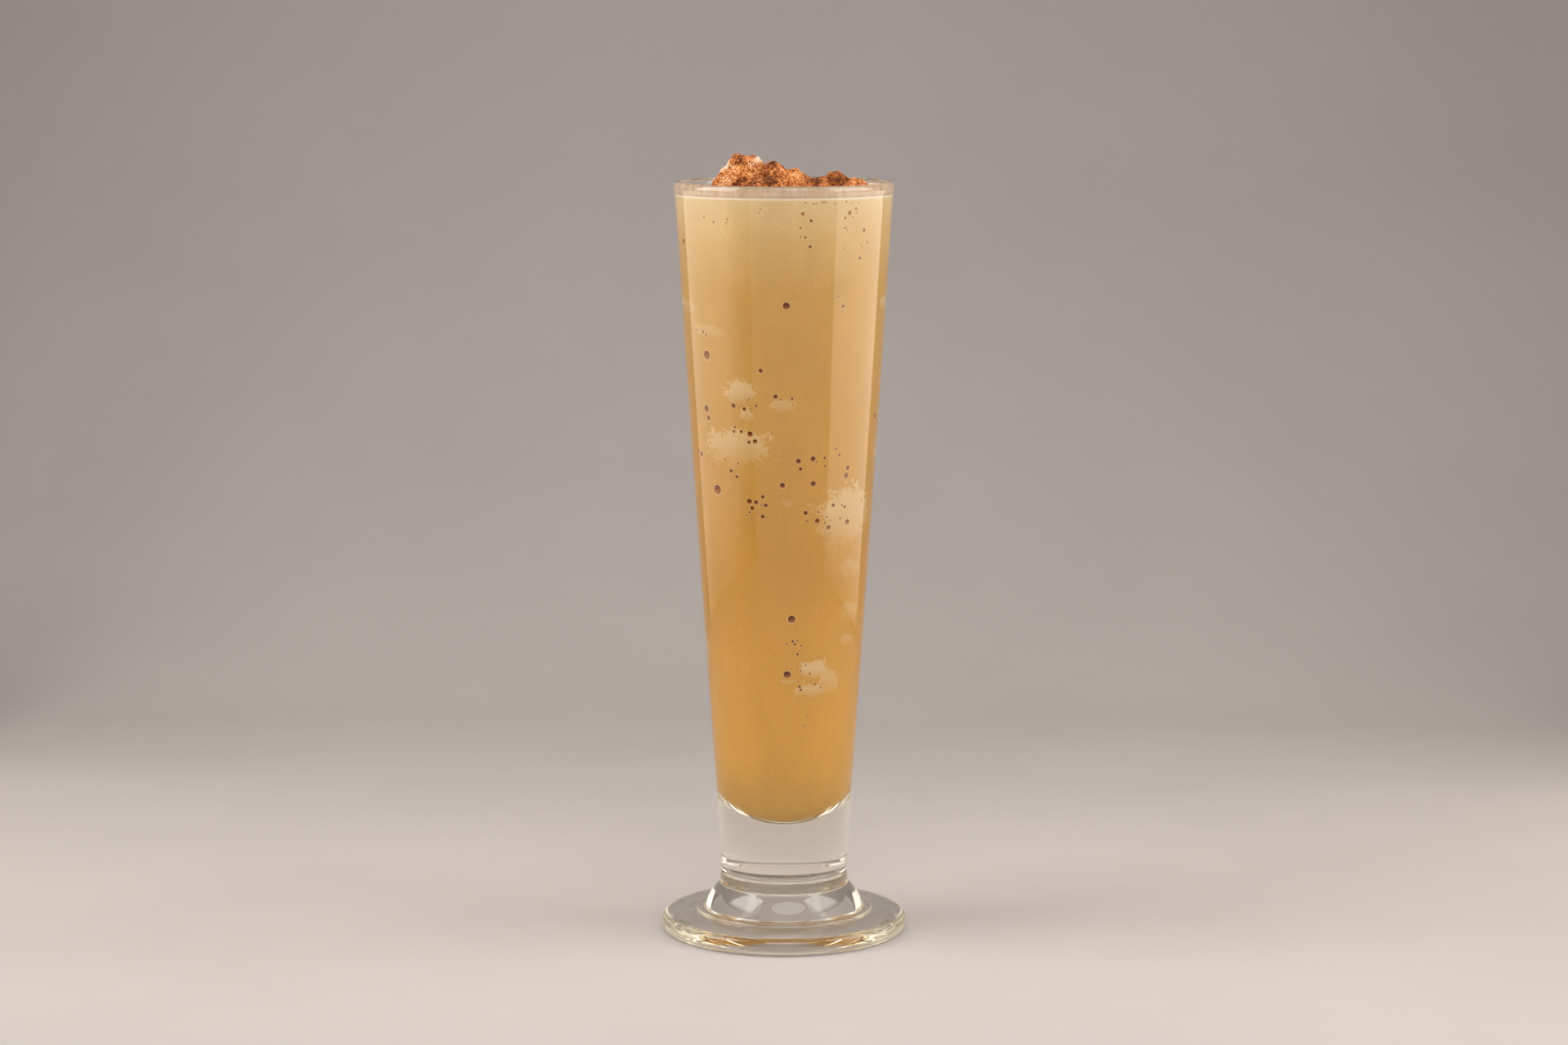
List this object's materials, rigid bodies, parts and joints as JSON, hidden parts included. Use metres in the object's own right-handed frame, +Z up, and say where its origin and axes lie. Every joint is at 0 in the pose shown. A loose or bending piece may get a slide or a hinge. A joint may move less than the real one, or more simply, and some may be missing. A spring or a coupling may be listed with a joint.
{
  "type": "frozen cappuccino",
  "caption": "Tall footed glass of blended frozen coffee with a pale foam head and craggy cream lumps dusted with cinnamon.",
  "frame": {"origin": "centre of the foot's underside, on the surface it stands on", "axes": "+Z up along the glass, +X to the right and -Y towards the viewer"},
  "size_m": [0.074, 0.074, 0.2332],
  "materials": {
    "glass": "clear pressed soda-lime glass, fire-polished",
    "coffee": "opaque milky coffee, wet where it meets the glass",
    "foam": "fine pale foam with small bubbles",
    "cream": "rough frozen cream under an uneven dusting of cinnamon"
  },
  "bodies": {
    "root": {"glass": "glass", "blended_coffee": "coffee", "milk_foam": "foam", "cream_lumps": "cream"}
  },
  "joints": []
}
